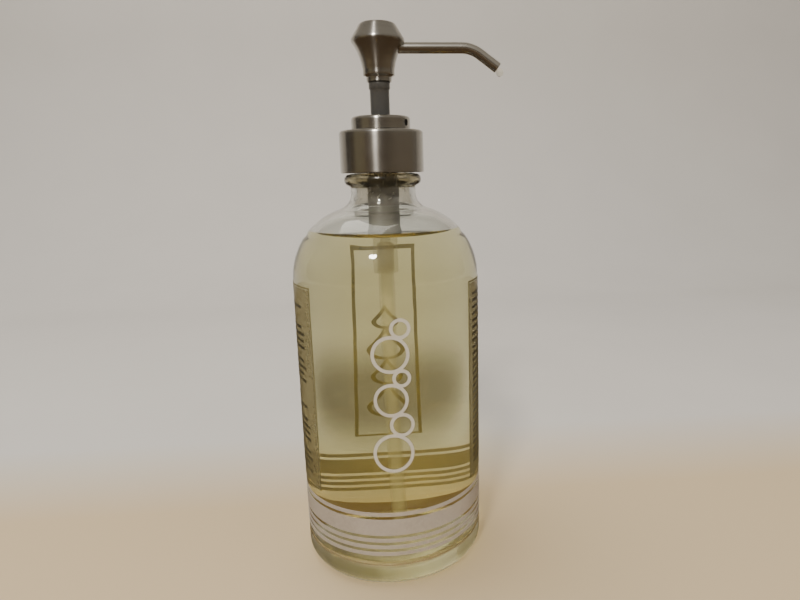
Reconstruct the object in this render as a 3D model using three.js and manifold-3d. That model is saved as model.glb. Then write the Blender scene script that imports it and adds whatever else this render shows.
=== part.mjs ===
// Liquid soap bottle: a round-shouldered glass bottle with a steel-clad screw-on soap pump.
// Millimetres, +Z up, standing on z = 0. The label side faces -Y and the spout points to +X.
import * as THREE from 'three';
import { mergeVertices } from 'three/addons/utils/BufferGeometryUtils.js';
import Module from 'manifold-3d';

const wasm = await Module();
wasm.setup();

// Glass bottle, 16 oz size. Neck, bead and screw finish are set down from the top of the glass,
// and the shoulder ends where the fillet under the neck begins.
const BODY_R = 37.3;
const GLASS_WALL = 2.4;
const GLASS_H = 168.5;
const HEEL_R = 5.6;
const PUSH_UP = 2.4;
const FOOT_RING_IN = BODY_R - 10.3;
const FLOOR_Z = 6;
const INNER_HEEL_R = 8;
const SHOULDER_R = 28.2;
const NECK_R = 12.9;
const NECK_FILLET = 6;
const NECK_STRAIGHT = 3.13;
const BEAD_R = NECK_R + 2.3;
const BEAD_H = 4.4;
const BEAD_ROUND = 2.1;
const FINISH_H = 10.2;
const FINISH_R = NECK_R - 0.35;
const SEG = 32;

const BEAD_Z1 = GLASS_H - FINISH_H;
const BEAD_Z0 = BEAD_Z1 - BEAD_H;
const INNER_R = BODY_R - GLASS_WALL;
const NECK_BORE_R = NECK_R - GLASS_WALL;
const shoulderCentreR = BODY_R - SHOULDER_R;
const filletCentreR = NECK_R + NECK_FILLET;
const filletRise = Math.sqrt((SHOULDER_R + NECK_FILLET) ** 2 - (filletCentreR - shoulderCentreR) ** 2);
const filletZ = BEAD_Z0 - NECK_STRAIGHT;
const SHOULDER_Z = filletZ - filletRise;

// Screw thread of the neck and of the closure
const PITCH = 4.233;
const THREAD_R = 1;
const THREAD_CENTRE_R = FINISH_R + 0.15;
const THREAD_Z0 = BEAD_Z1 + 2.3;
const THREAD_TURNS = 1.3;
const LINER_THREAD_R = 0.8;
const LINER_THREAD_CENTRE_R = FINISH_R + 1.45;
const LINER_THREAD_FROM = 0.45;
const LINER_THREAD_TO = 1.65;

// Fits
const GAP = 0.3;
const INK_LIFT = 0.08;
const INK_T = 0.15;

// Print on the glass, between the heel and the shoulder
const LINE_W = 1.6;
const LINE_GAP = 1.25;
const BAND_W = 6.8;
const STRIPES_Z0 = HEEL_R + 8.7;
const PANEL_Z0 = STRIPES_Z0 + 4 * (LINE_W + LINE_GAP) + BAND_W + 3.5;
const PANEL_Z1 = SHOULDER_Z - 0.4;
const PANEL_SPAN = 72;
const LEFT_PANEL_FROM = -50;
const RIGHT_PANEL_FROM = 56;
const BORDER_W = 0.7;
const FRONT_Z0 = PANEL_Z0 + 13;
const FRONT_Z1 = SHOULDER_Z - 8;
const FRONT_STROKE = 1.2;
const FRONT_AZ = 2.6;
const FRAME_AZ = 181.2;
const FRAME_HALF_W = 8.1;
const FRAME_Z0 = PANEL_Z0 + 4.8;
const FRAME_Z1 = PANEL_Z1 - 0.7;
const FRAME_STROKE = 0.9;

// Steel-clad closure
const CAP_R = FINISH_R + 3.85;
const CAP_H = 16;
const CAP_Z0 = BEAD_Z1 + 0.5;
const CAP_Z1 = CAP_Z0 + CAP_H;
const SHEET = 0.5;
const CAP_ROUND = 1.3;
const HUB_R = FINISH_R - 2.85;
const CAP_HOLE_R = HUB_R + 0.5;
const LINER_WALL = 1.5;

// Pump body, hung from its flange on top of the glass; the soap stands just under its barrel
const GASKET_T = 1;
const FLANGE_T = 1.6;
const FLANGE_R = FINISH_R + 0.05;
const HUB_Z1 = CAP_Z1 + 0.4;
const BARREL_R = 6.3;
const BARREL_BORE_R = BARREL_R - 1.3;
const BARREL_L = 31.2;
const LEDGE_Z = GLASS_H - BARREL_L;
const SOAP_LEVEL = LEDGE_Z - 3.3;
const TUBE_R = 2.4;
const TUBE_BORE_R = TUBE_R - 0.7;
const TUBE_TOP_Z = LEDGE_Z - 11.5;
const TUBE_END_Z = FLOOR_Z + 3.5;
const TUBE_LEAN = 1.5;
const SPIGOT_R = TUBE_R + 1.35;
const SPIGOT_Z0 = TUBE_TOP_Z - 7.6;
const BALL_R = 2.5;
const BALL_Z = LEDGE_Z - 7.05;
const COUNTERBORE_R = BARREL_R + 1.3;
const COUNTERBORE_Z = HUB_Z1 - 4.6;

// Collar
const COLLAR_R = HUB_R + 1.75;
const COLLAR_H = 4.9;
const COLLAR_Z0 = CAP_Z1 + GAP;
const COLLAR_Z1 = COLLAR_Z0 + COLLAR_H;
const COLLAR_ROUND = 1.2;
const COLLAR_HOLE_AZ = 58;
const COLLAR_HOLE_R = 1.3;

// Plunger: the piston hangs at the top of its barrel, one stroke above its lowest place
const STEM_R = 3.75;
const GUIDE_R = STEM_R + GAP;
const STEM_RING_R = STEM_R + 0.35;
const STROKE = 10;
const STEM_RING_Z0 = COLLAR_Z1 + STROKE + 0.4;
const STEM_BORE_R = 1.6;
const SEAL_H = 5.1;
const SEAL_TOP_Z = COUNTERBORE_Z - 0.4;
const STEM_FOOT_Z = SEAL_TOP_Z - SEAL_H - 0.4;
const STEM_NECK_R = STEM_R - 1.15;
const WIRE_R = 0.4;
const SPRING_R = BARREL_BORE_R - 1.1;
const SPRING_TURNS = 7;

// Pump head and spout
const HEAD_Z0 = STEM_RING_Z0 + 2.5;
const HEAD_H = 21.1;
const HEAD_Z1 = HEAD_Z0 + HEAD_H;
const STEM_TOP_Z = HEAD_Z0 + 7.1;
const HEAD_TOP_R = 6.3;
const HEAD_SKIN = 0.7;
const SPOUT_R = 2.1;
const SPOUT_BORE_R = 1.6;
const SPOUT_Z = HEAD_Z0 + 12.4;
const SPOUT_START = 4.2;
const SPOUT_BEND_X = 32;
const SPOUT_BEND_R = 12.5;
const SPOUT_BEND_DEG = 36;
const SPOUT_TIP_X = SPOUT_BEND_X + 14.3;
const DROP_R = 1.4;

// The object's outline is centred on the origin, so the axis of the bottle stands beside it.
const REACH = SPOUT_TIP_X + DROP_R + 0.65;
const AXIS_X = (BODY_R - REACH) / 2;

const rad = THREE.MathUtils.degToRad;

// Points of an arc in a section, angles in degrees, the first and the last point included.
function arc(r0, z0, radius, from, to, steps) {
  return Array.from({ length: steps + 1 }, (_, i) => {
    const a = rad(from + ((to - from) * i) / steps);
    return [r0 + radius * Math.cos(a), z0 + radius * Math.sin(a)];
  });
}

// Keeps only the position, shares the vertices and drops the triangles that a pole folds flat.
function welded(geometry) {
  const bare = geometry.index ? geometry.clone() : geometry;
  bare.deleteAttribute('normal');
  bare.deleteAttribute('uv');
  const merged = mergeVertices(bare, 1e-4);
  const index = merged.index.array;
  const kept = [];
  for (let i = 0; i < index.length; i += 3) {
    const [a, b, c] = [index[i], index[i + 1], index[i + 2]];
    if (a !== b && b !== c && c !== a) kept.push(a, b, c);
  }
  merged.setIndex(kept);
  return merged;
}

// A body turned about the Z axis from a section of [radius, height] points.
function turned(points, segments = SEG) {
  const section = points.map(([r, z]) => new THREE.Vector2(r, z));
  return welded(new THREE.LatheGeometry(section, segments).rotateX(Math.PI / 2));
}

// The same for a section that goes round a ring and closes on itself.
function ring(points, segments = SEG) {
  return turned([...points, points[0]], segments);
}

function solid(geometry) {
  const mesh = new wasm.Mesh({
    numProp: 3,
    vertProperties: new Float32Array(geometry.attributes.position.array),
    triVerts: new Uint32Array(geometry.index.array),
  });
  return new wasm.Manifold(mesh);
}

function fromSolid(body) {
  const mesh = body.getMesh();
  const geometry = new THREE.BufferGeometry();
  geometry.setAttribute('position', new THREE.BufferAttribute(mesh.vertProperties, 3));
  geometry.setIndex(new THREE.BufferAttribute(mesh.triVerts, 1));
  return geometry;
}

const cut = (base, ...tools) => fromSolid(tools.reduce((s, t) => s.subtract(solid(t)), solid(base)));
const joined = (base, ...more) => fromSolid(more.reduce((s, t) => s.add(solid(t)), solid(base)));

// A round rod along +X at height z, from x0 to x1, turned about Z by an azimuth in degrees.
function rodX(radius, x0, x1, z, azimuth = 0, sides = 16) {
  const rod = new THREE.CylinderGeometry(radius, radius, x1 - x0, sides);
  rod.rotateZ(-Math.PI / 2).translate((x0 + x1) / 2, 0, z).rotateZ(rad(azimuth));
  return welded(rod);
}

// A tube or rod swept along a curve.
function swept(curve, steps, radius, bore = 0, sides = 10) {
  const shape = new THREE.Shape().absarc(0, 0, radius, 0, 2 * Math.PI);
  if (bore > 0) shape.holes.push(new THREE.Path().absarc(0, 0, bore, 0, 2 * Math.PI));
  return welded(new THREE.ExtrudeGeometry(shape, { steps, curveSegments: sides / 2, extrudePath: curve }));
}

// A helix that climbs one pitch a turn and sinks into its wall at both ends.
class Helix extends THREE.Curve {
  constructor(radius, z0, fromTurn, toTurn, pitch, sink = 0) {
    super();
    Object.assign(this, { radius, z0, fromTurn, toTurn, pitch, sink });
  }

  getPoint(t) {
    const turn = this.fromTurn + (this.toTurn - this.fromTurn) * t;
    const edge = Math.min(t, 1 - t) * (this.toTurn - this.fromTurn);
    const r = this.radius + this.sink * Math.max(0, 1 - edge / 0.12);
    const a = 2 * Math.PI * turn;
    return new THREE.Vector3(r * Math.cos(a), r * Math.sin(a), this.z0 + this.pitch * turn);
  }
}

// Bends a flat plate onto the glass: x is arc length from the given azimuth, y is height and
// z is the thickness of the ink. Azimuth 0 is the front, and it grows towards +X.
function onGlass(plate, azimuth) {
  const position = plate.attributes.position;
  for (let i = 0; i < position.count; i += 1) {
    const a = rad(azimuth) + position.getX(i) / BODY_R;
    const r = BODY_R + INK_LIFT + position.getZ(i);
    position.setXYZ(i, r * Math.sin(a), -r * Math.cos(a), position.getY(i));
  }
  return welded(plate);
}

// A plate of ink x0..x1 by z0..z1 on the glass.
function field(azimuth, x0, x1, z0, z1, low = 0, high = INK_T) {
  const steps = Math.max(1, Math.ceil((x1 - x0) / 2.4));
  const plate = new THREE.BoxGeometry(x1 - x0, z1 - z0, high - low, steps, 1, 1);
  plate.translate((x0 + x1) / 2, (z0 + z1) / 2, (low + high) / 2);
  return onGlass(plate, azimuth);
}

// The outline of such a plate, its stroke inside the given edges.
function outline(azimuth, x0, x1, z0, z1, stroke) {
  const inside = field(azimuth, x0 + stroke, x1 - stroke, z0 + stroke, z1 - stroke, -0.5, 1);
  return cut(field(azimuth, x0, x1, z0, z1), inside);
}

// A closed line of ink: a shape with a hole of the same kind inside it.
function loop(make, azimuth, curveSegments = 8) {
  const shape = make(0);
  shape.holes.push(make(FRONT_STROKE));
  const plate = new THREE.ExtrudeGeometry(shape, { depth: INK_T, bevelEnabled: false, curveSegments });
  return onGlass(plate, azimuth);
}

// ---- Glass ----

const shoulderEnd = THREE.MathUtils.radToDeg(Math.atan2(filletRise, filletCentreR - shoulderCentreR));

// The inside of the bottle from the middle of its floor up to the bore, kept away from the glass.
function inside(away) {
  const floorEdge = INNER_R - INNER_HEEL_R;
  return [
    [0, FLOOR_Z + PUSH_UP / 2 + away],
    [floorEdge, FLOOR_Z + away],
    ...arc(floorEdge, FLOOR_Z + INNER_HEEL_R, INNER_HEEL_R - away, -70, 0, 2),
    ...arc(shoulderCentreR, SHOULDER_Z, SHOULDER_R - GLASS_WALL - away, 0, shoulderEnd, 5),
    ...arc(filletCentreR, filletZ, NECK_FILLET + GLASS_WALL + away, 180 + shoulderEnd, 180, 2).slice(1),
  ];
}

function glassBottle() {
  const outside = [
    [0, PUSH_UP],
    [FOOT_RING_IN - 7, PUSH_UP * 0.8],
    [FOOT_RING_IN, 0],
    ...arc(BODY_R - HEEL_R, HEEL_R, HEEL_R, -90, 0, 3),
    ...arc(shoulderCentreR, SHOULDER_Z, SHOULDER_R, 0, shoulderEnd, 6),
    ...arc(filletCentreR, filletZ, NECK_FILLET, 180 + shoulderEnd, 180, 3).slice(1),
    [NECK_R, BEAD_Z0],
    ...arc(BEAD_R - BEAD_ROUND, BEAD_Z0 + BEAD_ROUND, BEAD_ROUND, -90, 0, 2),
    ...arc(BEAD_R - BEAD_ROUND, BEAD_Z1 - BEAD_ROUND, BEAD_ROUND, 0, 90, 2),
    [FINISH_R, BEAD_Z1],
    [FINISH_R, GLASS_H - 0.5],
    [FINISH_R - 0.5, GLASS_H],
    [NECK_BORE_R + 0.4, GLASS_H],
    [NECK_BORE_R, GLASS_H - 0.4],
  ];
  const helix = new Helix(THREAD_CENTRE_R, THREAD_Z0, 0, THREAD_TURNS, PITCH, FINISH_R - THREAD_R - THREAD_CENTRE_R);
  const thread = swept(helix, 26, THREAD_R, 0, 6);
  return joined(turned([...outside, ...inside(0).reverse()]), thread);
}

// Where the suction tube runs, from its socket to its end near the floor.
const tubeLine = new THREE.CubicBezierCurve3(
  new THREE.Vector3(0, 0, TUBE_TOP_Z),
  new THREE.Vector3(0, 0, TUBE_TOP_Z - 40),
  new THREE.Vector3(0.3 * TUBE_LEAN, 0, TUBE_END_Z + 40),
  new THREE.Vector3(TUBE_LEAN, 0, TUBE_END_Z),
);

function liquidSoap() {
  const wall = inside(GAP).filter(([, z]) => z < SOAP_LEVEL);
  const last = wall[wall.length - 1];
  const rise = SOAP_LEVEL - SHOULDER_Z;
  const rim = shoulderCentreR + Math.sqrt((SHOULDER_R - GLASS_WALL - GAP) ** 2 - rise ** 2);
  const body = turned([...wall, ...(last[0] > rim ? [[rim, SOAP_LEVEL]] : []), [0, SOAP_LEVEL]]);
  const wellR = SPIGOT_R + 2 * GAP;
  const well = turned([[0, SPIGOT_Z0 - 1], [wellR, SPIGOT_Z0 - 1], [wellR, SOAP_LEVEL + 5], [0, SOAP_LEVEL + 5]], 20);
  return cut(body, swept(tubeLine, 8, TUBE_R + 2 * GAP), well);
}

// ---- Print ----

// A ring of ink round the whole bottle, with the same facets as the glass.
function stripe(z0, z1) {
  const r0 = BODY_R + INK_LIFT;
  return ring([[r0, z0], [r0 + INK_T, z0], [r0 + INK_T, z1], [r0, z1]]);
}

// White bubbles that climb in a zigzag, each overlapping the one before by half a stroke.
function frontBubbles() {
  const largest = (FRONT_Z1 - FRONT_Z0) / 8;
  const sizes = [1, 0.6, 0.84, 0.45, 0.92, 0.5].map((share) => share * largest);
  const side = (r) => 0.45 * largest - 0.28 * r;
  const loops = [];
  let z = FRONT_Z0 + sizes[0];
  sizes.forEach((r, i) => {
    const x = (i % 2 === 0 ? -1 : 1) * side(r);
    if (i > 0) {
      const before = sizes[i - 1];
      const beforeX = (i % 2 === 0 ? 1 : -1) * side(before);
      z += Math.sqrt((r + before - FRONT_STROKE / 2) ** 2 - (x - beforeX) ** 2);
    }
    const centre = z;
    loops.push(loop((inset) => new THREE.Shape().absarc(x, centre, r - inset, 0, 2 * Math.PI), FRONT_AZ));
  });
  return joined(...loops);
}

// Brown drops in a column inside the frame on the back, tip to foot.
function backDrops() {
  const frameH = FRAME_Z1 - FRAME_Z0;
  const sizes = [0.069, 0.053, 0.064, 0.046].map((share) => share * frameH);
  const loops = [];
  let z = FRAME_Z0 + 0.115 * frameH;
  for (const r of sizes) {
    const foot = z;
    loops.push(loop((inset) => {
      const drop = new THREE.Shape();
      const round = r - inset;
      const tip = foot + 3.1 * r - inset * 2.2;
      drop.absarc(0, foot + r, round, rad(150), rad(390));
      drop.quadraticCurveTo(0.25 * r, foot + 2.2 * r, 0, tip);
      drop.quadraticCurveTo(-0.25 * r, foot + 2.2 * r, -round * Math.cos(rad(30)), foot + r + round / 2);
      return drop;
    }, FRAME_AZ, 5));
    z += 3.1 * r - 0.8;
  }
  return joined(...loops);
}

const panelX = (PANEL_SPAN / 2) * rad(1) * BODY_R;
const panelField = (azimuth) => field(
  azimuth,
  BORDER_W + GAP - panelX,
  panelX - BORDER_W - GAP,
  PANEL_Z0 + BORDER_W + GAP,
  PANEL_Z1 - BORDER_W - GAP,
);
const panelBorder = (azimuth) => outline(azimuth, -panelX, panelX, PANEL_Z0, PANEL_Z1, BORDER_W);

// ---- Closure ----

function capShell() {
  const inR = CAP_R - SHEET;
  return ring([
    [inR, CAP_Z0],
    [CAP_R, CAP_Z0],
    ...arc(CAP_R - CAP_ROUND, CAP_Z1 - CAP_ROUND, CAP_ROUND, 0, 90, 3),
    [CAP_HOLE_R, CAP_Z1],
    [CAP_HOLE_R, CAP_Z1 - SHEET],
    [inR - 0.9, CAP_Z1 - SHEET],
    [inR, CAP_Z1 - CAP_ROUND],
  ]);
}

function capLiner() {
  const outR = CAP_R - SHEET - GAP;
  const inR = outR - LINER_WALL;
  const wallZ0 = GLASS_H + GASKET_T + FLANGE_T + GAP;
  const wallZ1 = wallZ0 + 1.8;
  const holeR = HUB_R + GAP;
  const skirt = ring([
    [inR, CAP_Z0 + 0.2],
    [outR, CAP_Z0 + 0.2],
    [outR, wallZ1 - 0.6],
    [outR - 0.8, wallZ1],
    [outR - 1.1, wallZ1],
    [outR - 1.1, CAP_Z1 - SHEET],
    [outR - 2.2, CAP_Z1 - SHEET],
    [outR - 2.2, wallZ1],
    [holeR, wallZ1],
    [holeR, wallZ0],
    [inR, wallZ0],
  ]);
  const sunk = outR - 0.05 - LINER_THREAD_R - LINER_THREAD_CENTRE_R;
  const z0 = THREAD_Z0 - PITCH / 2;
  const helix = new Helix(LINER_THREAD_CENTRE_R, z0, LINER_THREAD_FROM, LINER_THREAD_TO, PITCH, sunk);
  return joined(skirt, swept(helix, 24, LINER_THREAD_R, 0, 6));
}

// ---- Pump body ----

function gasket() {
  const z1 = GLASS_H + GASKET_T;
  return ring([[NECK_BORE_R + 0.2, GLASS_H], [FLANGE_R, GLASS_H], [FLANGE_R, z1], [NECK_BORE_R + 0.2, z1]], 24);
}

function housing() {
  const flangeZ0 = GLASS_H + GASKET_T;
  const flangeZ1 = flangeZ0 + FLANGE_T;
  const socketR = TUBE_R + 0.2;
  return ring([
    [socketR, SPIGOT_Z0],
    [SPIGOT_R, SPIGOT_Z0],
    [SPIGOT_R, LEDGE_Z - 3],
    [BARREL_R + 0.4, LEDGE_Z - 2.4],
    [BARREL_R + 0.6, LEDGE_Z - 1.4],
    [BARREL_R, LEDGE_Z],
    [BARREL_R, flangeZ0 - 1.5],
    [BARREL_R + 0.9, flangeZ0],
    [FLANGE_R, flangeZ0],
    [FLANGE_R, flangeZ1],
    [HUB_R, flangeZ1],
    [HUB_R, HUB_Z1],
    [COUNTERBORE_R, HUB_Z1],
    [COUNTERBORE_R, COUNTERBORE_Z],
    [BARREL_BORE_R, COUNTERBORE_Z],
    [BARREL_BORE_R, LEDGE_Z],
    [BALL_R - 0.15, LEDGE_Z],
    [BALL_R - 0.15, LEDGE_Z - 3.3],
    [BALL_R + 0.5, LEDGE_Z - 4.1],
    [BALL_R + 0.5, LEDGE_Z - 7.4],
    [1.5, LEDGE_Z - 9.2],
    [1.5, TUBE_TOP_Z],
    [socketR, TUBE_TOP_Z],
  ], 20);
}

// The suction tube, cut off at a slant so that it can't seal itself on the floor.
function dipTube() {
  const slant = new THREE.BoxGeometry(14, 14, 10);
  slant.translate(0, 0, -5).rotateY(rad(38)).translate(TUBE_LEAN, 0, TUBE_END_Z + 2.4);
  return cut(swept(tubeLine, 8, TUBE_R, TUBE_BORE_R), welded(slant));
}

function collarCore() {
  const top = COLLAR_Z1 - SHEET;
  const outR = COLLAR_R - SHEET - GAP;
  return ring([
    [GUIDE_R, COUNTERBORE_Z + 0.2],
    [COUNTERBORE_R - GAP, COUNTERBORE_Z + 0.2],
    [COUNTERBORE_R - GAP, HUB_Z1],
    [outR, HUB_Z1],
    [outR, top - 1],
    [outR - 0.9, top],
    [GUIDE_R, top],
  ], 24);
}

function collarShell() {
  const inR = COLLAR_R - SHEET;
  const shell = ring([
    [inR, COLLAR_Z0],
    [COLLAR_R, COLLAR_Z0],
    ...arc(COLLAR_R - COLLAR_ROUND, COLLAR_Z1 - COLLAR_ROUND, COLLAR_ROUND, 0, 90, 3),
    [GUIDE_R + 0.4, COLLAR_Z1],
    [GUIDE_R + 0.4, COLLAR_Z1 - SHEET],
    [inR - 0.8, COLLAR_Z1 - SHEET],
    [inR, COLLAR_Z1 - COLLAR_ROUND],
  ], 24);
  const hole = rodX(COLLAR_HOLE_R, COLLAR_R - 1.2, COLLAR_R + 1, COLLAR_Z0 + 2.3, COLLAR_HOLE_AZ - 90);
  return cut(shell, hole);
}

// ---- Plunger ----

function stem() {
  const ringZ1 = HEAD_Z0 - 0.1;
  return ring([
    [STEM_BORE_R, STEM_FOOT_Z],
    [STEM_NECK_R, STEM_FOOT_Z],
    [STEM_NECK_R, SEAL_TOP_Z],
    [STEM_R, SEAL_TOP_Z],
    [STEM_R, STEM_RING_Z0 - 0.4],
    [STEM_RING_R, STEM_RING_Z0],
    [STEM_RING_R, ringZ1],
    [STEM_R - 0.35, ringZ1],
    [STEM_R - 0.35, STEM_TOP_Z],
    [STEM_BORE_R, STEM_TOP_Z],
  ], 20);
}

// The seal has a thin lip at each end and is waisted between them.
function pistonSeal() {
  const lipR = BARREL_BORE_R - 0.15;
  const z0 = SEAL_TOP_Z - SEAL_H;
  return ring([
    [STEM_NECK_R + 0.25, z0],
    [lipR, z0],
    [lipR, z0 + 0.8],
    [lipR - 0.6, z0 + 1.5],
    [lipR - 0.6, SEAL_TOP_Z - 1.5],
    [lipR, SEAL_TOP_Z - 0.8],
    [lipR, SEAL_TOP_Z],
    [STEM_NECK_R + 0.25, SEAL_TOP_Z],
  ], 20);
}

const poppetZ0 = STEM_FOOT_Z - 1.6;

function poppet() {
  const rodR = STEM_BORE_R - GAP;
  return turned([
    [0, poppetZ0 - 2],
    [1.6, poppetZ0 - 2],
    [2.4, poppetZ0],
    [SPRING_R + 0.5, poppetZ0],
    [SPRING_R + 0.5, STEM_FOOT_Z - 0.4],
    [STEM_NECK_R + 0.2, STEM_FOOT_Z],
    [rodR, STEM_FOOT_Z],
    [rodR, STEM_RING_Z0 - 6.4],
    [0, STEM_RING_Z0 - 5.8],
  ], 16);
}

// Compression spring between the ledge of the barrel and the foot of the poppet.
function spring() {
  const z0 = LEDGE_Z + WIRE_R + 0.05;
  const z1 = poppetZ0 - WIRE_R - 0.05;
  const helix = new Helix(SPRING_R, z0, 0, SPRING_TURNS, (z1 - z0) / SPRING_TURNS);
  return swept(helix, SPRING_TURNS * 11, WIRE_R, 0, 6);
}

// ---- Head ----

// Turned bell with a sharp waist: a small ring, a short cylinder, a hollow flare, a ridge
// and a low cone up to the flat press face.
function headShell() {
  const outside = [
    [4.8, HEAD_Z0],
    [4.8, HEAD_Z0 + 1.7],
    [6.05, HEAD_Z0 + 2.5],
    [6.05, HEAD_Z0 + 4.3],
    [6.3, HEAD_Z0 + 5.3],
    [6.75, HEAD_Z0 + 7.4],
    [7.45, HEAD_Z0 + 9.6],
    [8.5, HEAD_Z0 + 11.9],
    [9.8, HEAD_Z0 + 14],
    [10.15, HEAD_Z0 + 14.9],
    [9.95, HEAD_Z0 + 15.7],
    [HEAD_TOP_R + 0.7, HEAD_Z1 - 0.7],
    [HEAD_TOP_R, HEAD_Z1],
    [0, HEAD_Z1],
  ];
  const under = [
    [0, HEAD_Z1 - HEAD_SKIN],
    [5.7, HEAD_Z1 - HEAD_SKIN],
    [9.1, HEAD_Z0 + 15.6],
    [9.3, HEAD_Z0 + 14.9],
    [7.8, HEAD_Z0 + 12.1],
    [6.05, HEAD_Z0 + 7.6],
    [5.4, HEAD_Z0 + 4.6],
    [5.4, HEAD_Z0 + 2.6],
    [4.3, HEAD_Z0 + 2.1],
    [4.3, HEAD_Z0],
  ];
  const bell = turned([...under, ...outside], 24);
  return cut(bell, rodX(SPOUT_R + 0.25, SPOUT_START, 14, SPOUT_Z));
}

function headCore() {
  const socketR = STEM_R - 0.35 + GAP;
  const core = turned([
    [0, SPOUT_Z + 1.6],
    [STEM_BORE_R, SPOUT_Z + 1],
    [STEM_BORE_R, STEM_TOP_Z],
    [socketR, STEM_TOP_Z],
    [socketR, HEAD_Z0 + 2.9],
    [5.1, HEAD_Z0 + 2.9],
    [5.1, HEAD_Z0 + 4.9],
    [5.7, HEAD_Z0 + 7.7],
    [7.4, HEAD_Z0 + 12.2],
    [8.9, HEAD_Z0 + 15.1],
    [8.7, HEAD_Z0 + 15.5],
    [5.3, HEAD_Z1 - HEAD_SKIN],
    [0, HEAD_Z1 - HEAD_SKIN],
  ], 20);
  const channel = rodX(1.2, 0, SPOUT_START + 1, SPOUT_Z, 0, 12);
  const socket = rodX(SPOUT_R + 0.25, SPOUT_START, 14, SPOUT_Z);
  return cut(core, channel, socket);
}

// The centre line of the spout: straight out of the head, a bend down, straight to the tip.
class SpoutLine extends THREE.Curve {
  getPoint(t) {
    const share = THREE.MathUtils.clamp((t - 1 / 12) / (10 / 12), 0, 1);
    const turn = rad(SPOUT_BEND_DEG) * share;
    const x = SPOUT_BEND_X + SPOUT_BEND_R * Math.sin(turn);
    const z = SPOUT_Z - SPOUT_BEND_R * (1 - Math.cos(turn));
    const before = (SPOUT_BEND_X - SPOUT_START) * Math.min(0, t * 12 - 1);
    const reach = (SPOUT_TIP_X - x) / Math.cos(turn);
    const after = share < 1 ? 0 : reach * (t * 12 - 11);
    return new THREE.Vector3(x + before + after * Math.cos(turn), 0, z - after * Math.sin(turn));
  }

  getPointAt(u) {
    return this.getPoint(u);
  }

  getTangentAt(u) {
    const turn = rad(SPOUT_BEND_DEG) * THREE.MathUtils.clamp((u - 1 / 12) / (10 / 12), 0, 1);
    return new THREE.Vector3(Math.cos(turn), 0, -Math.sin(turn));
  }
}

const spoutLine = new SpoutLine();

function spout() {
  return swept(spoutLine, 12, SPOUT_R, SPOUT_BORE_R, 12);
}

// The drop hangs in front of the lower half of the spout's mouth.
function soapDrop() {
  const tip = spoutLine.getPoint(1);
  const out = spoutLine.getTangentAt(1);
  const drop = new THREE.SphereGeometry(DROP_R, 12, 8);
  drop.scale(1, 1, 1.1);
  drop.translate(tip.x + out.x * 1.6 - 0.55, 0, tip.z + out.z * 1.6 - 0.72);
  return welded(drop);
}

// ---- Materials ----

const steel = (roughness) => new THREE.MeshStandardMaterial({ color: 0xb9b4a8, metalness: 1, roughness });
const plastic = (color, roughness = 0.5) => new THREE.MeshStandardMaterial({ color, roughness });
const ink = (color, opacity = 1) => new THREE.MeshStandardMaterial({
  color,
  roughness: 0.6,
  opacity,
  transparent: opacity < 1,
});
const clear = (color, opacity) => new THREE.MeshStandardMaterial({
  color,
  roughness: 0.05,
  opacity,
  transparent: true,
});

// ---- The bottle, put together ----

const bottle = new THREE.Group();
bottle.position.x = AXIS_X;

function add(parent, name, geometry, material) {
  const mesh = new THREE.Mesh(geometry, material);
  mesh.name = name;
  parent.add(mesh);
  return mesh;
}

add(bottle, 'glass_bottle', glassBottle(), clear(0xe6eae4, 0.3));
add(bottle, 'liquid_soap', liquidSoap(), clear(0xc9bb84, 0.7));

// The stripes from the foot up: three lines, a band and a last line.
let stripeZ = STRIPES_Z0;
for (const [name, width] of [
  ['stripe_line_1', LINE_W],
  ['stripe_line_2', LINE_W],
  ['stripe_line_3', LINE_W],
  ['stripe_band', BAND_W],
  ['stripe_hairline', LINE_W],
]) {
  add(bottle, name, stripe(stripeZ, stripeZ + width), ink(0xcfccc0));
  stripeZ += width + LINE_GAP;
}

add(bottle, 'front_bubbles', frontBubbles(), ink(0xd9d9d4));
const backFrame = outline(FRAME_AZ, -FRAME_HALF_W, FRAME_HALF_W, FRAME_Z0, FRAME_Z1, FRAME_STROKE);
add(bottle, 'back_frame', backFrame, ink(0x80683c));
add(bottle, 'back_drops', backDrops(), ink(0x80683c));

const panelAzimuths = {
  left: LEFT_PANEL_FROM - PANEL_SPAN / 2,
  right: RIGHT_PANEL_FROM + PANEL_SPAN / 2,
};
for (const [side, azimuth] of Object.entries(panelAzimuths)) {
  add(bottle, `${side}_panel`, panelField(azimuth), ink(0x8f8760, 0.5));
  add(bottle, `${side}_border`, panelBorder(azimuth), ink(0x6b6140));
}

const pump = new THREE.Group();
bottle.add(pump);
add(pump, 'gasket', gasket(), plastic(0xe8e6e0, 0.8));
add(pump, 'housing', housing(), plastic(0xa9a79f));
add(pump, 'dip_tube', dipTube(), plastic(0xd8d2bd));
const ball = new THREE.SphereGeometry(BALL_R, 16, 10).rotateX(Math.PI / 2);
add(pump, 'inlet_ball', welded(ball), steel(0.2)).position.z = BALL_Z;
add(pump, 'collar_core', collarCore(), plastic(0x6a6862));
add(pump, 'collar_shell', collarShell(), steel(0.32));
add(pump, 'cap_liner', capLiner(), plastic(0xe3e0d8));
add(pump, 'cap_shell', capShell(), steel(0.32));

const plunger = new THREE.Group();
pump.add(plunger);
add(plunger, 'piston_seal', pistonSeal(), plastic(0xdcd9d0));
add(plunger, 'poppet', poppet(), plastic(0xdcd9d0));
add(plunger, 'spring', spring(), steel(0.25));

const head = new THREE.Group();
plunger.add(head);
add(head, 'stem', stem(), plastic(0x5f5d58));
add(head, 'head_core', headCore(), plastic(0x6a6862));
add(head, 'head_shell', headShell(), steel(0.32));
add(head, 'spout', spout(), steel(0.15));
add(head, 'soap_drop', soapDrop(), clear(0xd9cd9c, 0.7));

export default bottle;
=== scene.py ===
import math
import bpy
import numpy as np
from mathutils import Matrix, Vector


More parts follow.
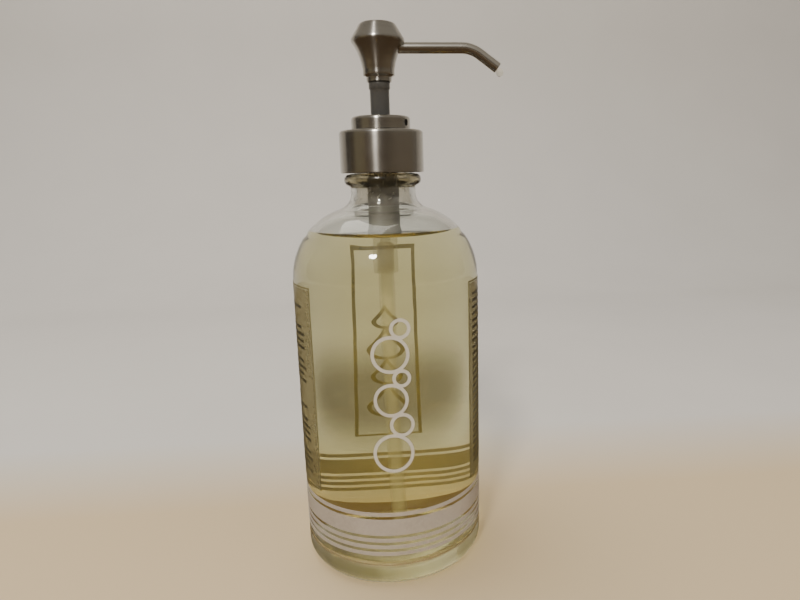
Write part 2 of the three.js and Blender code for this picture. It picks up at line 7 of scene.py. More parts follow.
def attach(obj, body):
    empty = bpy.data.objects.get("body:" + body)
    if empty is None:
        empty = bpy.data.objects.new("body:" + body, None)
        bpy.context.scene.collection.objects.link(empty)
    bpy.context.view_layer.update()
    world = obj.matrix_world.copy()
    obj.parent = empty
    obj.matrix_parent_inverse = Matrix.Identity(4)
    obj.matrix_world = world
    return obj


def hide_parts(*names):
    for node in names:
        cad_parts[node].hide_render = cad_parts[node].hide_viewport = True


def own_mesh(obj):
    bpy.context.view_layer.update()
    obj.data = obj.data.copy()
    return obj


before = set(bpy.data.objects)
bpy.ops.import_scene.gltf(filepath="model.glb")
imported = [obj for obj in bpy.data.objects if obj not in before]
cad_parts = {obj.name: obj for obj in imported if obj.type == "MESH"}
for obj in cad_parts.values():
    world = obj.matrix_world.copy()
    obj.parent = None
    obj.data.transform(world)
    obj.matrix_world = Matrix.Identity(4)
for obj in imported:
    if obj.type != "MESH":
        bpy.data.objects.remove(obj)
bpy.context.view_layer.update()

# ---- Camera ----
# A small camera held about 24 cm in front of the bottle at the height of its neck, tipped
# down by 12 degrees. Its place and lens come from fitting the bottle's sizes to its outline.
AXIS_X = -0.005525
pitch, yaw, roll = (math.radians(a) for a in (11.726, 5.222, -1.081))
ahead = Vector((math.sin(yaw) * math.cos(pitch), math.cos(yaw) * math.cos(pitch), -math.sin(pitch)))
level = Vector((math.cos(yaw), -math.sin(yaw), 0))
upward = level.cross(ahead)
side = math.cos(roll) * level + math.sin(roll) * upward
top = math.cos(roll) * upward - math.sin(roll) * level
camera = bpy.data.objects.new("camera", bpy.data.cameras.new("camera"))
bpy.context.scene.collection.objects.link(camera)
CAMERA_Y, CAMERA_Z = -0.24447, 0.15729
held_at = Matrix.Translation((AXIS_X, CAMERA_Y, CAMERA_Z))
camera.matrix_world = held_at @ Matrix((side, top, -ahead)).transposed().to_4x4()
camera.data.sensor_width = 36
camera.data.lens = 27
camera.data.shift_x = -41.05 / 800
camera.data.clip_start = 0.01
bpy.context.scene.camera = camera
bpy.context.scene.cycles.transparent_max_bounces = 32

# ---- Light ----
# A soft key lamp in front and to the left, well above the bottle, gives the narrow bright line
# down the steel. A broad weak one fills from the right, and the room gives the rest.


def linear(hex_colour):
    """sRGB hex to linear: each channel c becomes ((c + 0.055) / 1.055) to the power 2.4."""
    c = np.array([int(hex_colour[i:i + 2], 16) / 255 for i in (1, 3, 5)])
    return (*np.where(c <= 0.04045, c / 12.92, ((c + 0.055) / 1.055) ** 2.4).tolist(), 1)


def node(tree, kind, at=None, **wires):
    """Adds a node: names in at are its settings, wires go to its inputs as values or as links."""
    made = tree.nodes.new(kind)
    for name, value in (at or {}).items():
        setattr(made, name, value)
    for name, value in wires.items():
        socket = made.inputs[int(name[1:])] if name[1:].isdigit() else made.inputs[name.replace("_", " ")]
        if isinstance(value, bpy.types.NodeSocket):
            tree.links.new(value, socket)
        else:
            socket.default_value = value
    return made


def mix(tree, share, low, high):
    """The colour low where share is 0 and high where it is 1; a colour is a hex or a socket."""
    low, high = (linear(c) if isinstance(c, str) else c for c in (low, high))
    return node(tree, "ShaderNodeMix", {"data_type": "RGBA"}, _0=share, _6=low, _7=high).outputs[2]


def remap(tree, value, low, high, to_low=0, to_high=1, kind="LINEAR"):
    """Carries value from the span low to high over to the span to_low to to_high, and stops there."""
    return node(tree, "ShaderNodeMapRange", {"interpolation_type": kind},
                _0=value, _1=low, _2=high, _3=to_low, _4=to_high).outputs[0]


def calc(tree, operation, one, two):
    """One number or socket worked with another."""
    return node(tree, "ShaderNodeMath", {"operation": operation}, _0=one, _1=two).outputs[0]


def lamp(name, azimuth, elevation, distance, wide, high, watts, colour):
    """An area lamp aimed at the bottle's neck; azimuth 0 is the front and grows towards +X."""
    a, e = math.radians(azimuth), math.radians(elevation)
    towards = Vector((math.sin(a) * math.cos(e), -math.cos(a) * math.cos(e), math.sin(e)))
    light = bpy.data.lights.new(name, "AREA")
    light.shape = "RECTANGLE"
    light.size, light.size_y = wide, high
    light.energy = watts
    light.color = linear(colour)[:3]
    made = bpy.data.objects.new(name, light)
    bpy.context.scene.collection.objects.link(made)
    made.rotation_euler = towards.to_track_quat("Z", "Y").to_euler()
    made.location = Vector((AXIS_X, 0, 0.12)) + distance * towards
    return made


lamp("key_lamp", -19, 41, 1.1, 0.14, 0.11, 7.4, "#FFF8EE")
fill = lamp("fill_lamp", 62, 35, 1.3, 0.9, 0.9, 3, "#FFF6EC")
overhead = lamp("top_lamp", -120, 70, 1.2, 0.9, 0.9, 10.8, "#FFFAF4")
for soft in (fill, overhead):
    soft.visible_glossy = False

# The room is plain and pale, but what shines sees it as a dim kitchen: brown in front, near
# black to the left, paler to the right and behind, with a pale ceiling. Azimuth picks the
# colour, and how far up the ray goes brings in the ceiling, brightest round the key lamp.
world = bpy.data.worlds.new("room")
bpy.context.scene.world = world
world.use_nodes = True
sky = world.node_tree
sky.nodes.clear()
where = node(sky, "ShaderNodeTexCoord")
apart = node(sky, "ShaderNodeSeparateXYZ", Vector=where.outputs["Generated"])
back_to_front = calc(sky, "MULTIPLY", apart.outputs["Y"], -1)
angle = calc(sky, "ARCTAN2", apart.outputs["X"], back_to_front)
share = remap(sky, angle, -math.pi, math.pi)
dim = node(sky, "ShaderNodeValToRGB", _0=share)
stops = [(-180, "#7E786E"), (-132, "#3C362D"), (-116, "#100C08"), (-84, "#120E08"), (-72, "#7E7558"),
         (-50, "#726648"), (-40, "#3A2812"), (-30, "#483A2E"), (-6, "#463A30"), (14, "#3A2E26"),
         (34, "#5A5145"), (85, "#685F52"), (110, "#766E61"), (180, "#7E786E")]
while len(dim.color_ramp.elements) < len(stops):
    dim.color_ramp.elements.new(0.5)
for element, (azimuth, colour) in zip(dim.color_ramp.elements, stops):
    element.position = (azimuth + 180) / 360
    element.color = linear(colour)
up = remap(sky, apart.outputs["Z"], 0.08, 0.45)
TOWARDS_KEY = (-0.246, -0.714, 0.656)
near_lamp = node(sky, "ShaderNodeVectorMath", {"operation": "DOT_PRODUCT"},
                 _0=where.outputs["Generated"], _1=TOWARDS_KEY)
halo = remap(sky, near_lamp.outputs["Value"], 0.9, 1.0, kind="SMOOTHSTEP")
ceiling = mix(sky, halo, "#A39C90", "#FFFFFF")
dim = mix(sky, up, dim.outputs[0], ceiling)
ray = node(sky, "ShaderNodeLightPath")
mirrored = node(sky, "ShaderNodeMath", {"operation": "SUBTRACT", "use_clamp": True},
                _0=ray.outputs["Is Glossy Ray"], _1=ray.outputs["Is Transmission Ray"])
seen = mix(sky, mirrored.outputs[0], "#C6C2BB", dim)
air = node(sky, "ShaderNodeBackground", Color=seen, Strength=0.86)
node(sky, "ShaderNodeOutputWorld", Surface=air.outputs[0])

# ---- Floor and backdrop ----
# One plain pale sweep: a floor that curves up into a wall well behind the bottle. It is the
# stage, painted a matt warm grey, and keeps the bottle's shadow.


def link_mesh(name, points, faces, body=None, smooth=40):
    """Points in millimetres from the bottle's axis become a mesh object in metres at the origin."""
    mesh = bpy.data.meshes.new(name)
    mesh.from_pydata((points * 0.001 + np.array([AXIS_X, 0, 0])).tolist(), [], faces)
    mesh.update()
    mesh.shade_smooth()
    mesh.set_sharp_from_angle(angle=math.radians(smooth))
    made = bpy.data.objects.new(name, mesh)
    bpy.context.scene.collection.objects.link(made)
    if body:
        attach(made, body)
    return made


def grid_faces(rows, columns, round_rows=False, round_columns=False):
    """Quads of a grid of points, closed across its rows or columns where it is round."""
    i, j = np.mgrid[:rows - (not round_rows), :columns - (not round_columns)]
    k, l = (i + 1) % rows, (j + 1) % columns
    return np.stack([i * columns + j, i * columns + l, k * columns + l, k * columns + j], -1).reshape(-1, 4)


turn = np.linspace(0, math.pi / 2, 24)
sweep_y = np.concatenate([[-1600], 500 + 400 * np.sin(turn), [900]])
sweep_z = np.concatenate([[0], 400 - 400 * np.cos(turn), [2600]])
sweep_x = np.repeat([[-2200], [2200]], len(sweep_y), 1)
sweep = np.stack([sweep_x, np.tile(sweep_y, (2, 1)), np.tile(sweep_z, (2, 1))], -1)
stage = link_mesh("sweep", sweep.reshape(-1, 3), grid_faces(2, len(sweep_y)).tolist())


def material(name):
    """A new material with nothing but its output node."""
    made = bpy.data.materials.new(name)
    made.use_nodes = True
    made.node_tree.nodes.clear()
    return made, made.node_tree


def noise(tree, scale, detail, **more):
    """Noise in the piece's own metres, so its grain is about 1 / scale metres wide."""
    spot = node(tree, "ShaderNodeTexCoord")
    return node(tree, "ShaderNodeTexNoise", Vector=spot.outputs["Object"],
                Scale=scale, Detail=detail, **more).outputs[0]


def show(made, shader, *pieces, volume=None):
    """Joins the shader to the output and gives the material to the pieces."""
    tree = made.node_tree
    out = node(tree, "ShaderNodeOutputMaterial", Surface=shader.outputs[0])
    if volume:
        tree.links.new(volume.outputs[0], out.inputs["Volume"])
    for piece in pieces:
        piece.data.materials.clear()
        piece.data.materials.append(made)


# Matt emulsion paint, rolled: a faint mottle keeps the wall from looking like a flat card.
paint, tree = material("matt_rolled_paint")
spot = node(tree, "ShaderNodeTexCoord")
mottle = noise(tree, 9, 3)
wall = mix(tree, mottle, "#C9C6C1", "#D0CDC8")
place = node(tree, "ShaderNodeSeparateXYZ", Vector=spot.outputs["Object"])
far = remap(tree, place.outputs["Y"], 0.03, 0.11)
tone = mix(tree, far, "#CBB794", wall)
show(paint, node(tree, "ShaderNodeBsdfPrincipled", Base_Color=tone, Roughness=0.9), stage)

# A table of warm brown wood lies round the foot for what shines and for what is seen through
# the glass, and a soft dark card stands close behind it: they stand for the bench of the
# photograph and for the bottle's own shadow on its wall. The camera doesn't see either.


def flag(name, points, faces, *hidden_rays):
    """A staged card of the set that the named kinds of ray don't meet."""
    made = link_mesh(name, points, faces)
    for rays in ("camera", "diffuse", "shadow", "volume_scatter", *hidden_rays):
        setattr(made, "visible_" + rays, False)
    return made


FOOT, BENCH_R, BENCH_Z = 38.2, 1100, 0.5  # the cards stop short of the glass, so nothing cuts into it
# The ring round the foot is a painted reflection: it glows dim brown and only what shines sees it, as a bench
# round the foot.
b = np.linspace(0, 2 * math.pi, 64, endpoint=False)
reach = np.array([[FOOT], [BENCH_R]])
ring = np.stack([reach * np.cos(b), reach * np.sin(b), np.full((2, 64), BENCH_Z)], -1)
bench = flag("bench_mirrored", ring.reshape(-1, 3), grid_faces(2, 64, False, True).tolist(), "transmission")
bench_glow, tree = material("painted_bench_reflection")
show(bench_glow, node(tree, "ShaderNodeEmission", Color=linear("#5C4A36"), Strength=0.8), bench)
# The strip behind the foot is a painted view of the bench: it glows brown and is seen only through the glass,
# not under the foot.
b = np.linspace(math.pi, 0, 32)
STRIP_HALF, STRIP_BACK, STRIP_Z = 130, 47, 0.4
notch = np.stack([FOOT * np.cos(b), FOOT * np.sin(b), np.full(32, STRIP_Z)], -1)
corners = [[STRIP_HALF, STRIP_BACK, STRIP_Z], [-STRIP_HALF, STRIP_BACK, STRIP_Z], [-STRIP_HALF, 0, STRIP_Z]]
corners = np.concatenate([corners, notch, [[STRIP_HALF, 0, STRIP_Z]]])
bench = flag("bench_through_glass", corners, [list(range(len(corners)))], "glossy")
bench_glow, tree = material("painted_bench_through_glass")
show(bench_glow, node(tree, "ShaderNodeEmission", Color=linear("#9C8362"), Strength=0.8), bench)
# The dark card is a painted shadow: a dim brown glow with soft edges, seen only through the glass, where the
# bottle's shadow on its wall would show.
b = np.linspace(0, 2 * math.pi, 48, endpoint=False)
CARD_X, CARD_Y, CARD_Z, CARD_WIDE, CARD_HIGH = 2, 105.0, 34, 44, 40
inward = np.array([[1], [0]])
points = np.stack([CARD_X + inward * np.cos(b) * CARD_WIDE, np.full((2, 48), CARD_Y),
                   CARD_Z + inward * np.sin(b) * CARD_HIGH], -1)
card = flag("card_behind", points.reshape(-1, 3), grid_faces(2, 48, False, True).tolist(), "glossy")
edge = card.data.attributes.new("edge", "FLOAT", "POINT")
edge.data.foreach_set("value", np.repeat([1.0, 0.0], 48))
wall_shadow, tree = material("painted_wall_shadow_card")
edge = node(tree, "ShaderNodeAttribute", {"attribute_name": "edge"})
soft = remap(tree, edge.outputs["Fac"], 1.0, 0.2, 0.0, 0.62, "SMOOTHSTEP")
clear_air = node(tree, "ShaderNodeBsdfTransparent")
shadow_glow = node(tree, "ShaderNodeEmission", Color=linear("#43301F"), Strength=0.6)
show(wall_shadow, node(tree, "ShaderNodeMixShader", _0=soft, _1=clear_air.outputs[0], _2=shadow_glow.outputs[0]), card)

# ---- Glass bottle ----
# A round-shouldered bottle of clear soda-lime glass, blown in a mould: a thick foot with a
# push-up, a long round shoulder, a short neck with a bead and a screw finish under the cap.
BODY_R, WALL, GLASS_TOP = 37.3, 2.4, 168.5
HEEL_R, PUSH_UP, STAND_IN, STAND_OUT = 5.6, 2.4, 27, 31.7
SHOULDER_R, SHOULDER_Z, SHOULDER_END = 28.2, 118.004, 73.35
FILLET_R, FILLET_CENTRE, FILLET_Z = 6, 18.9, 150.77
NECK_R, MOUTH_R, FINISH_R, FINISH_Z = 12.9, 10.5, 12.55, 158.4
BEAD_R, BEAD_Z0, BEAD_Z1, BEAD_ROUND = 15.2, 153.9, 158.3, 2.15
SOAP_LEVEL, MENISCUS = 134.0, 2.4


def arc(r, z, radius, start, end, steps):
    """Points of an arc: centre plus radius times cosine and sine of angles from start to end."""
    a = np.radians(np.linspace(start, end, steps + 1))
    return np.stack([r + radius * np.cos(a), z + radius * np.sin(a)], -1)


def line(r0, z0, r1, z1, steps=1):
    """Evenly spaced points from one end up to, but not including, the other."""
    return np.linspace([r0, z0], [r1, z1], steps + 1)[:-1]


def turned(profile, sides=128, wave=None):
    """A surface of revolution: every (r, z) of the profile is carried round a circle of radius r,
    so x is r cos a and y is r sin a. A point on the axis becomes one pole. wave, if given,
    returns what is added to r at each angle and height."""
    a = np.linspace(0, 2 * math.pi, sides, endpoint=False)
    r, z = (np.repeat(profile[:, i:i + 1], sides, 1) for i in (0, 1))
    if wave:
        r = r + wave(a[None, :], r, z)
    points = np.stack([r * np.cos(a), r * np.sin(a), z], -1).reshape(-1, 3)
    ids = np.arange(len(points)).reshape(len(profile), sides)
    poles = profile[:, 0] < 1e-6
    ids[poles] = ids[poles, :1]
    used, ids = np.unique(ids, return_inverse=True)
    ids = ids.reshape(len(profile), sides)
    closed = not (poles[0] and poles[-1])
    nxt = np.roll(ids, -1, 0) if closed else ids[1:]
    now = ids if closed else ids[:-1]
    quads = np.stack([now, np.roll(now, -1, 1), np.roll(nxt, -1, 1), nxt], -1)
    rows = np.repeat(np.arange(len(now)), sides)
    quads = quads.reshape(-1, 4)
    p, q = points[used], quads
    one, two, three, four = (p[q[:, i]] for i in range(4))
    out = (one * (np.cross(two, three) + np.cross(three, four))).sum()
    faces = [list(dict.fromkeys(f)) for f in (q if out > 0 else q[:, ::-1]).tolist()]
    keep = [len(f) > 2 for f in faces]
    return p, [f for f, k in zip(faces, keep) if k], rows[np.array(keep)]


SCREW_Z, PITCH, SCREW_TURNS, SCREW_FADE = 160.6, 4.233, 1.3, 0.08


def screw_ridge(a, r, z):
    """Height of the round screw ridge: a circle of radius 1 about a helix 0.15 outside the
    finish, faded away over a part of a turn at each end."""
    ridge = np.zeros(np.broadcast(a, z).shape)
    for whole in (0, 1):
        t = a / (2 * math.pi) + whole
        away = z - (SCREW_Z + PITCH * t)
        fade = np.clip(np.minimum(t, SCREW_TURNS - t) / SCREW_FADE, 0, 1)
        high = 0.15 + np.sqrt(np.clip(1 - away ** 2, 0, 1)) - 1 + fade
        ridge = np.maximum(ridge, np.where(np.abs(away) < 1, high, 0))
    return np.where((r > 12.4) & (z > 158.5), ridge, 0)


inner_r = BODY_R - WALL
contact = math.degrees(math.asin((SOAP_LEVEL + MENISCUS - SHOULDER_Z) / (SHOULDER_R - WALL)))
inside_wet = np.concatenate([
    line(0, 7.2, 26.9, 6.0, 6),
    arc(26.9, 14, 8, -90, 0, 14),
    line(inner_r, 15, inner_r, SHOULDER_Z, 10),
    arc(BODY_R - SHOULDER_R, SHOULDER_Z, SHOULDER_R - WALL, 0, contact, 18),
])
inside_dry = np.concatenate([
    arc(BODY_R - SHOULDER_R, SHOULDER_Z, SHOULDER_R - WALL, contact, SHOULDER_END, 12)[1:],
    arc(FILLET_CENTRE, FILLET_Z, FILLET_R + WALL, 180 + SHOULDER_END, 180, 12)[1:],
    line(MOUTH_R, 151.5, MOUTH_R, GLASS_TOP - 0.5, 6),
    arc(MOUTH_R + 0.4, GLASS_TOP - 0.4, 0.4, 180, 90, 3),
])
outside = np.concatenate([
    line(0, PUSH_UP, 20, PUSH_UP - 0.5, 5),
    line(20, PUSH_UP - 0.5, STAND_IN, 0, 4),
    line(STAND_IN, 0, STAND_OUT, 0, 3),
    arc(BODY_R - HEEL_R, HEEL_R, HEEL_R, -90, 0, 14),
    line(BODY_R, 6.5, BODY_R, SHOULDER_Z, 12),
    arc(BODY_R - SHOULDER_R, SHOULDER_Z, SHOULDER_R, 0, SHOULDER_END, 32),
    arc(FILLET_CENTRE, FILLET_Z, FILLET_R, 180 + SHOULDER_END, 180, 14)[1:],
    line(NECK_R, 151.5, NECK_R, 153.0, 2),
    arc(NECK_R + 0.6, 153.1, 0.6, 180, 100, 5),
    arc(BEAD_R - BEAD_ROUND, BEAD_Z0 + BEAD_ROUND, BEAD_ROUND, -75, 0, 9),
    arc(BEAD_R - BEAD_ROUND, BEAD_Z1 - BEAD_ROUND, BEAD_ROUND, 0, 90, 10),
    line(FINISH_R, FINISH_Z, FINISH_R, 159.2, 2),
    line(FINISH_R, 159.4, FINISH_R, 167.6, 64),
    arc(FINISH_R - 0.5, GLASS_TOP - 0.5, 0.5, 0, 90, 4),
])


def follow_rim(points):
    """The soap's edge stands highest in front: each height over the flat level is cut by up to
    four fifths towards the back, and points on the inner wall stay on it, at the radius that
    is the arc's centre plus the root of the arc's radius squared less the height squared."""
    r = np.maximum(np.hypot(points[:, 0], points[:, 1]), 1e-6)
    high = points[:, 2]
    over = np.where(high < SOAP_LEVEL + MENISCUS + 0.001, np.clip(high - SOAP_LEVEL, 0, None), 0)
    z = high - over * 0.4 * (1 + points[:, 1] / r)
    old, new = (np.sqrt((SHOULDER_R - WALL) ** 2 - np.clip(h - SHOULDER_Z, 0, 25) ** 2) for h in (high, z))
    on_wall = (over > 0) & (np.abs(r - (BODY_R - SHOULDER_R) - old) < 0.05)
    scale = np.where(on_wall, 1 + (new - old) / r, 1)
    return np.stack([points[:, 0] * scale, points[:, 1] * scale, z], -1)


glass_profile = np.concatenate([outside, inside_dry[::-1], inside_wet[::-1]])
points, faces, rows = turned(glass_profile, 144, screw_ridge)
points = follow_rim(points)
glass = link_mesh("bottle_glass", points, faces, "bottle", smooth=50)
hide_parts("glass_bottle")
wet = (rows >= len(outside) + len(inside_dry)).astype(np.int32)


def clear(tree, ior, tint, bump=None, shade="#FFFFFF", roughness=0.0):
    """A clear body of the given IOR whose shadow lets the lamps through, tinted by shade."""
    body = node(tree, "ShaderNodeBsdfPrincipled", Base_Color=linear(tint), Roughness=roughness, IOR=ior,
                Transmission_Weight=1.0)
    if bump:
        tree.links.new(bump.outputs[0], body.inputs["Normal"])
    ray = node(tree, "ShaderNodeLightPath")
    through = node(tree, "ShaderNodeBsdfTransparent", Color=linear(shade))
    return node(tree, "ShaderNodeMixShader",
                _0=ray.outputs["Is Shadow Ray"], _1=body.outputs[0], _2=through.outputs[0])


# Soda-lime glass, blown in a mould: a slow waviness of about 12 mm bends what is seen through it.
bottle_glass, tree = material("soda_lime_glass_mould_blown")
ripple = noise(tree, 80, 1)
wavy = node(tree, "ShaderNodeBump", Strength=0.05, Distance=0.001, Height=ripple)
show(bottle_glass, clear(tree, 1.5, "#F6F8F4", wavy, "#EAEAE6"), glass)

# The same glass where soap wets it: seen from the soap, glass is only a tenth denser.
wet_glass, tree = material("soda_lime_glass_wetted")
show(wet_glass, clear(tree, 1.5 / 1.36, "#FFFFFF"))
glass.data.materials.append(wet_glass)

# The bead is thick; its glass is tinted olive as painted shade for the dark cap and surroundings bent into
# view through it, and it is a little rough, so it looks a little cloudy.
bead_glass, tree = material("soda_lime_glass_bead_painted_shade")
show(bead_glass, clear(tree, 1.5, "#BFB798", None, "#EAEAE6", 0.18))
glass.data.materials.append(bead_glass)

# Inside the neck a film of old soap has dried in runs and smears, so the glass there is dulled.
film_glass, tree = material("soda_lime_glass_soap_film")
smear = noise(tree, 220, 4, Distortion=1.2)
dull = remap(tree, smear, 0.42, 0.7, 0.0, 0.35)
filmed = clear(tree, 1.5, "#C8C3B6", None, "#E0E0DC")
tree.links.new(dull, filmed.inputs[1].links[0].from_node.inputs["Roughness"])
show(film_glass, filmed)
glass.data.materials.append(film_glass)

# The underside is stippled by the mould so that the bottle stands without slipping: what is
# seen down through the foot is blurred to a soft olive.
foot_glass, tree = material("soda_lime_glass_stippled_foot")
show(foot_glass, clear(tree, 1.5, "#F6F8F4", None, "#EAEAE6", 0.32))
glass.data.materials.append(foot_glass)
profile_z = glass_profile[rows, 1]
bead_rows = (rows < len(outside)) & (profile_z > BEAD_Z0 - 0.5) & (profile_z < FINISH_Z)
film_rows = (rows >= len(outside)) & (profile_z > 146)
foot_rows = (rows < len(outside)) & (profile_z < PUSH_UP + 0.05)
slots = np.select([bead_rows, film_rows, foot_rows], [2, 3, 4], wet)
glass.data.polygons.foreach_set("material_index", slots.astype(np.int32))

# ---- Soap ----
# Clear straw-yellow liquid soap. It wets the glass all the way down, creeps a little up the
# glass and the pump at its rim, and surrounds the suction tube with no air between.
rim = np.array([inside_wet[-1][0] - 0.02, inside_wet[-1][1]])
climb = np.linspace(0, 1, 14)
fall = np.exp(-4.5 * climb) * (1 - climb)
creep = np.stack([rim[0] - 6 * climb, SOAP_LEVEL + (rim[1] - SOAP_LEVEL) * fall], -1)
well = np.linspace(1, 0, 8)
spigot_creep = np.stack([3.7 + 3.5 * well, SOAP_LEVEL + 0.5 * np.exp(-5 * well) * (1 - well)], -1)
floor_side = inside_wet.copy()
floor_side[:, 0] = np.maximum(floor_side[:, 0] - 0.02, 0)
floor_side[:, 1] += np.where(floor_side[:, 0] < 33, 0.02, 0)
soap_profile = np.concatenate([
    floor_side[:-1], rim[None], creep[1:], [[12, SOAP_LEVEL]], spigot_creep, [[0, SOAP_LEVEL]]])
points, faces, rows = turned(soap_profile, 144)
points = follow_rim(points)
soap = link_mesh("soap_body", points, faces, "bottle", smooth=60)
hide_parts("liquid_soap")
top_face = (rows >= len(floor_side) - 1).astype(np.int32)

# Soap against glass: the surface itself is unseen, only the straw colour in its depth shows. Open
# soap is a smooth clear liquid that mirrors a little, over the same depth of colour.
STRAW = {"Color": (0.72, 0.66, 0.16, 1), "Density": 17}
soap_side, tree = material("liquid_soap_against_glass")
unseen = node(tree, "ShaderNodeBsdfTransparent", Color=(1, 1, 1, 1))
depth = node(tree, "ShaderNodeVolumeAbsorption", **STRAW)
show(soap_side, unseen, soap, volume=depth)
soap_top, tree = material("liquid_soap_open_surface")
depth = node(tree, "ShaderNodeVolumeAbsorption", **STRAW)
show(soap_top, clear(tree, 1.36, "#FFFFFF"), volume=depth)
soap.data.materials.append(soap_top)
soap.data.polygons.foreach_set("material_index", top_face)

# ---- Stripes round the foot ----
# Five rings of pale grey glass enamel, screen-printed and fired on: three lines, a broad band
# and a last line. Each is a thin skin fused a hair into the glass.
INK_IN, INK_OUT, INK_EDGE = 37.26, 37.42, 0.05


def enamel(name, light, dark, see_through=0.0):
    """Fired glass enamel: satin, its tone and its skin a little uneven from the screen."""
    made, tree = material(name)
    grain = noise(tree, 900, 2)
    cloud = noise(tree, 60, 2)
    both = calc(tree, "MULTIPLY", grain, cloud)
    wide = remap(tree, both, 0.1, 0.45)
    tone = mix(tree, wide, light, dark)
    relief = node(tree, "ShaderNodeBump", Strength=0.05, Distance=0.0001, Height=grain)
    skin = node(tree, "ShaderNodeBsdfPrincipled", Base_Color=tone, Roughness=0.42,
                Normal=relief.outputs[0], Alpha=1 - see_through)
    return made, skin


pale_enamel, skin = enamel("pale_grey_glass_enamel", "#C8BEB6", "#B9AFA6", 0.3)
stripes = [("stripe_line_1", 14.3, 15.9), ("stripe_line_2", 17.15, 18.75), ("stripe_line_3", 20.0, 21.6),
           ("stripe_band", 22.85, 29.65), ("stripe_hairline", 30.9, 32.5)]
rings = []
for name, low, high in stripes:
    ring = np.array([[INK_IN, low], [INK_OUT - INK_EDGE, low], [INK_OUT, low + INK_EDGE],
                     [INK_OUT, high - INK_EDGE], [INK_OUT - INK_EDGE, high], [INK_IN, high]])
    points, faces, _ = turned(ring, 160)
    rings.append(link_mesh("print_" + name, points, faces, "bottle"))
    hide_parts(name)
show(pale_enamel, skin, *rings)

# ---- Front print ----
# Six white soap bubbles in outline, climbing in a zigzag where the real bottle has its word.
# The same enamel, in white, printed as strokes 1.2 mm wide.


def on_glass(s, z, r, azimuth):
    """Wraps flat (s, z) onto the glass: the angle is azimuth plus s over the bottle's radius."""
    a = math.radians(azimuth) + s / BODY_R
    return np.stack([r * np.sin(a), -r * np.cos(a), z + 0 * a], -1)


def ink_loop(outer, inner, azimuth):
    """A closed stroke of ink between two outlines with as many points each: a skin with an
    outside face, an inside face and two edges, so four points go round the outline."""
    radii = (INK_OUT, INK_OUT, INK_IN, INK_IN)
    sets = (outer, inner, inner, outer)
    points = np.stack([on_glass(o[:, 0], o[:, 1], r, azimuth) for o, r in zip(sets, radii)], 1)
    return points.reshape(-1, 3), grid_faces(len(outer), 4, True, True)


def joined(parts):
    """Puts several point and face arrays into one."""
    starts = np.cumsum([0] + [len(p) for p, _ in parts[:-1]])
    faces = np.concatenate([f + start for (_, f), start in zip(parts, starts)])
    return np.concatenate([p for p, _ in parts]), faces.tolist()


BUBBLE, STROKE_W, FRONT_Z0, FRONT_AZ = 7.625, 1.2, 49.0, 2.6
sizes = BUBBLE * np.array([1, 0.6, 0.84, 0.45, 0.92, 0.5])
sway = (0.45 * BUBBLE - 0.28 * sizes) * np.array([-1, 1, -1, 1, -1, 1])
rise = np.sqrt((sizes[1:] + sizes[:-1] - STROKE_W / 2) ** 2 - np.diff(sway) ** 2)
heights = FRONT_Z0 + sizes[0] + np.concatenate([[0], np.cumsum(rise)])
round_ = np.linspace(0, 2 * math.pi, 72, endpoint=False)
circle = np.stack([np.cos(round_), np.sin(round_)], -1)
parts = [ink_loop(circle * r + [x, z], circle * (r - STROKE_W) + [x, z], FRONT_AZ)
         for r, x, z in zip(sizes, sway, heights)]
points, faces = joined(parts)
bubbles = link_mesh("print_bubbles", points, faces, "bottle")
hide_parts("front_bubbles")
white_enamel, skin = enamel("white_glass_enamel", "#CFCBC4", "#C2BDB5")
show(white_enamel, skin, bubbles)

# ---- Back print ----
# A tall frame and a column of drops in tan enamel on the far side, seen through the soap.
# Plain drops stand where the real bottle has words.


def framed(s0, s1, z0, z1, sides_n=24):
    """A rectangle's outline as points, the same number on each of its four sides."""
    t = np.linspace(0, 1, sides_n, endpoint=False)
    corners = np.array([[s0, z0], [s1, z0], [s1, z1], [s0, z1], [s0, z0]])
    return np.concatenate([corners[i] + t[:, None] * (corners[i + 1] - corners[i]) for i in range(4)])


PANEL_Z0, PANEL_Z1 = 36.0, 117.604
FRAME_Z0, FRAME_Z1, FRAME_AZ, FRAME_HALF, FRAME_W = 40.8, 116.5, 181.2, 8.1, 0.8
outer = framed(-FRAME_HALF, FRAME_HALF, FRAME_Z0, FRAME_Z1)
inner = framed(FRAME_W - FRAME_HALF, FRAME_HALF - FRAME_W, FRAME_Z0 + FRAME_W, FRAME_Z1 - 0.6)
points, faces = ink_loop(outer, inner, FRAME_AZ)
back_frame = link_mesh("print_back_frame", points, faces.tolist(), "bottle")
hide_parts("back_frame")


def drop_outline(radius, foot, inset):
    """A drop: a circle below, drawn out to a tip above. With up the cosine of the angle from
    straight up, width is cut by 0.72 up squared and height grows with up cubed."""
    r = radius - inset
    up = np.clip(np.cos(round_), 0, 1)
    s = r * np.sin(round_) * (1 - 0.72 * up ** 2)
    return np.stack([s, foot + radius + r * np.cos(round_) + (1.1 * radius - 1.2 * inset) * up ** 3], -1)


frame_h = FRAME_Z1 - FRAME_Z0
foot, parts = FRAME_Z0 + 0.115 * frame_h, []
for size in frame_h * np.array([0.069, 0.053, 0.064, 0.046]):
    parts.append(ink_loop(drop_outline(size, foot, 0), drop_outline(size, foot, STROKE_W), FRAME_AZ))
    foot += 3.1 * size - 0.8
points, faces = joined(parts)
drops = link_mesh("print_back_drops", points, faces, "bottle")
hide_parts("back_drops")
tan_enamel, skin = enamel("tan_glass_enamel", "#A89E7A", "#978D68", 0.45)
show(tan_enamel, skin, back_frame, drops)

# ---- Side panels ----
# A panel on each side: a thin see-through wash of olive enamel inside a fine darker border,
# with rows of dashes for its small print. The dashes stand for lines of lettering.


